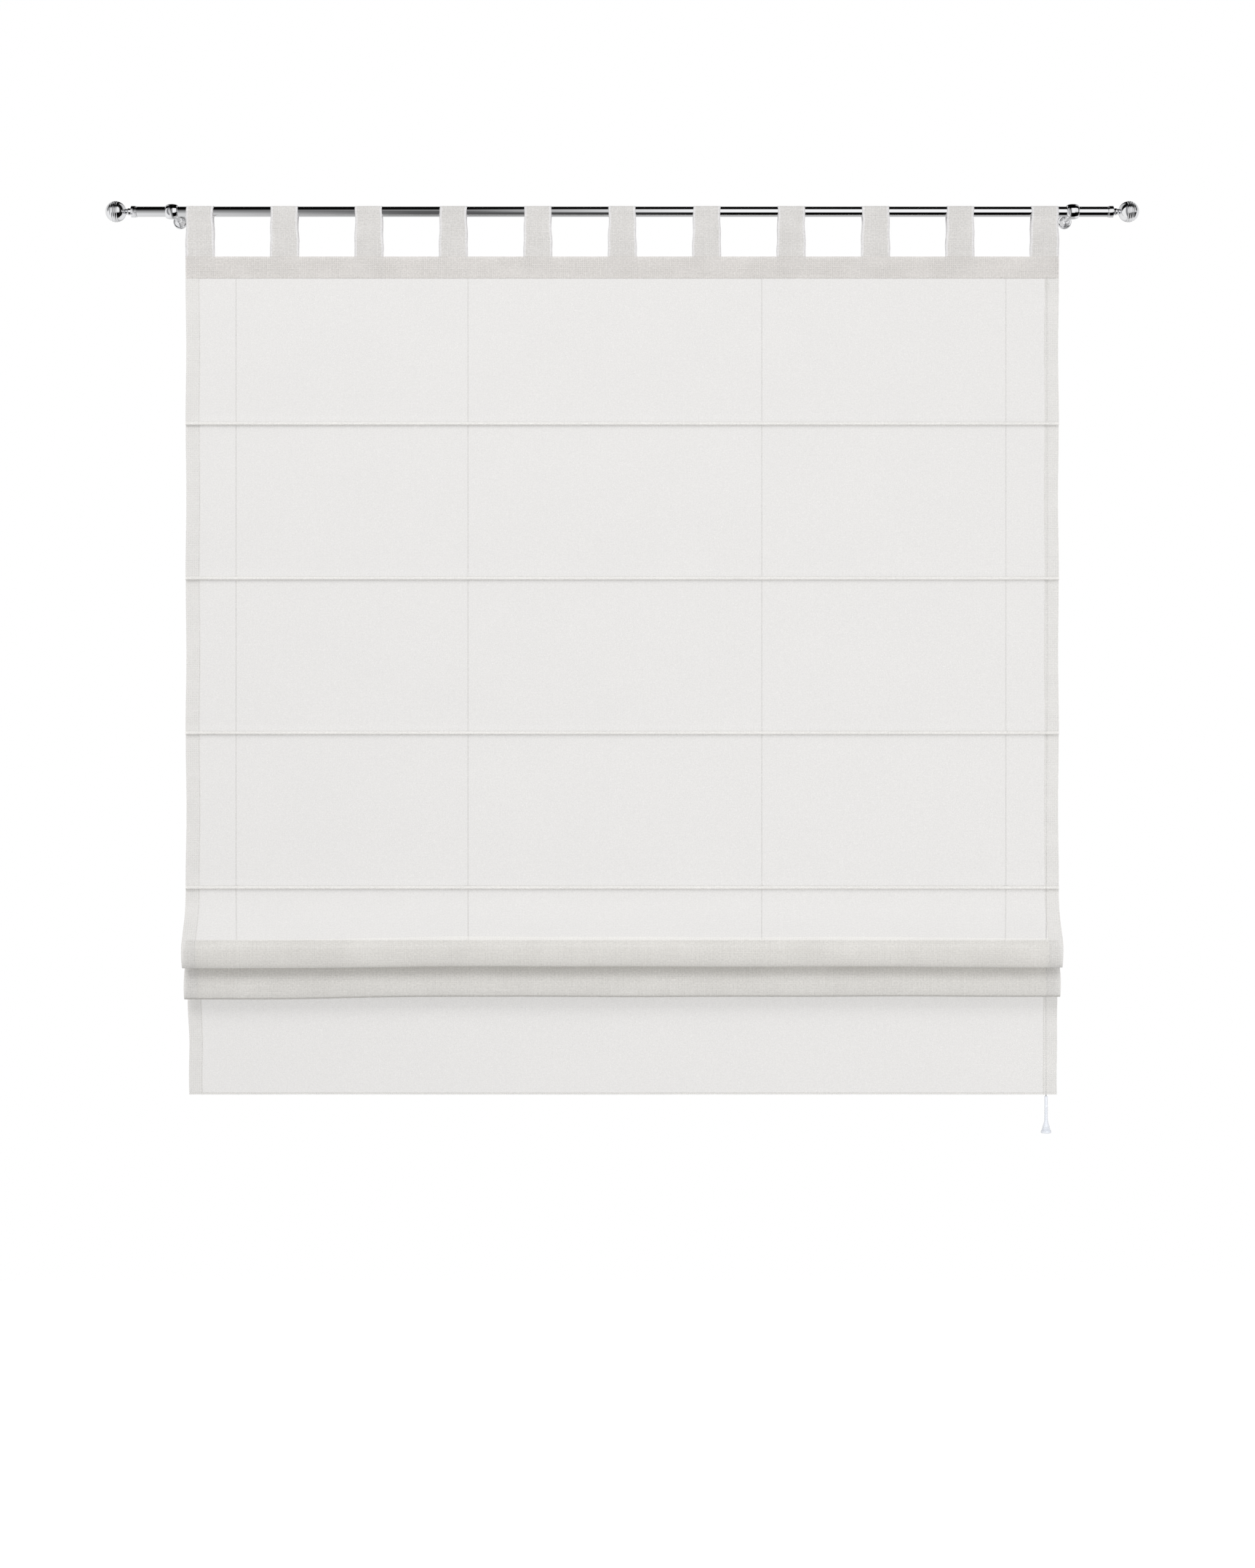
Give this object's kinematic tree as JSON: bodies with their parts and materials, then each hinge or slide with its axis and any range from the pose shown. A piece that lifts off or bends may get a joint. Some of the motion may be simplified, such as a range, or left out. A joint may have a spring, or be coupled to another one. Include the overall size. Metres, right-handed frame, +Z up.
{
  "type": "voile blind",
  "caption": "Tab-top voile Roman blind hung from a chrome curtain rod with ball finials, its lowest bays drawn up into soft folds, with a bell pull on a cord",
  "frame": {"origin": "on the wall plane, midway between the two wall discs, at the height of the curtain rod's axis", "axes": "+X runs to the right along the curtain rod as seen from the front, +Y points into the wall, so the front faces -Y, and +Z is up"},
  "size_m": [1.657, 0.1617, 1.4964],
  "materials": {
    "chrome": "polished",
    "zinc_steel": "zinc plated",
    "voile": "sheer plain weave",
    "voile_band": "doubled sheer plain weave",
    "pocket_rod_fibre": "drawn glass-fibre rod",
    "ring_plastic": "moulded",
    "cord": "braided",
    "pull_plastic": "moulded, glossy"
  },
  "bodies": {
    "root": {"curtain_rod": "chrome", "finial_left": "chrome", "finial_right": "chrome", "bracket_left": "chrome", "bracket_right": "chrome", "wall_disc_left": "zinc_steel", "wall_disc_right": "zinc_steel", "wall_screw_left": "zinc_steel", "wall_screw_right": "zinc_steel", "voile_panel": "voile", "header_facing": "voile_band", "tab_01": "voile_band", "tab_02": "voile_band", "tab_03": "voile_band", "tab_04": "voile_band", "tab_05": "voile_band", "tab_06": "voile_band", "tab_07": "voile_band", "tab_08": "voile_band", "tab_09": "voile_band", "tab_10": "voile_band", "tab_11": "voile_band", "pocket_rod_1": "pocket_rod_fibre", "pocket_rod_2": "pocket_rod_fibre", "pocket_rod_3": "pocket_rod_fibre", "pocket_rod_4": "pocket_rod_fibre", "pocket_rod_5": "pocket_rod_fibre", "pocket_rod_6": "pocket_rod_fibre", "cord_ring_1_1": "ring_plastic", "cord_ring_1_2": "ring_plastic", "cord_ring_1_3": "ring_plastic", "cord_ring_1_4": "ring_plastic", "cord_ring_2_1": "ring_plastic", "cord_ring_2_2": "ring_plastic", "cord_ring_2_3": "ring_plastic", "cord_ring_2_4": "ring_plastic", "cord_ring_3_1": "ring_plastic", "cord_ring_3_2": "ring_plastic", "cord_ring_3_3": "ring_plastic", "cord_ring_3_4": "ring_plastic", "cord_ring_4_1": "ring_plastic", "cord_ring_4_2": "ring_plastic", "cord_ring_4_3": "ring_plastic", "cord_ring_4_4": "ring_plastic", "cord_ring_5_1": "ring_plastic", "cord_ring_5_2": "ring_plastic", "cord_ring_5_3": "ring_plastic", "cord_ring_5_4": "ring_plastic", "cord_ring_6_1": "ring_plastic", "cord_ring_6_2": "ring_plastic", "cord_ring_6_3": "ring_plastic", "cord_ring_6_4": "ring_plastic", "cord_joiner": "ring_plastic", "lift_cord_1": "cord", "lift_cord_2": "cord", "lift_cord_3": "cord", "lift_cord_4": "cord", "pull_cord": "cord", "cord_pull": "pull_plastic"}
  },
  "joints": []
}
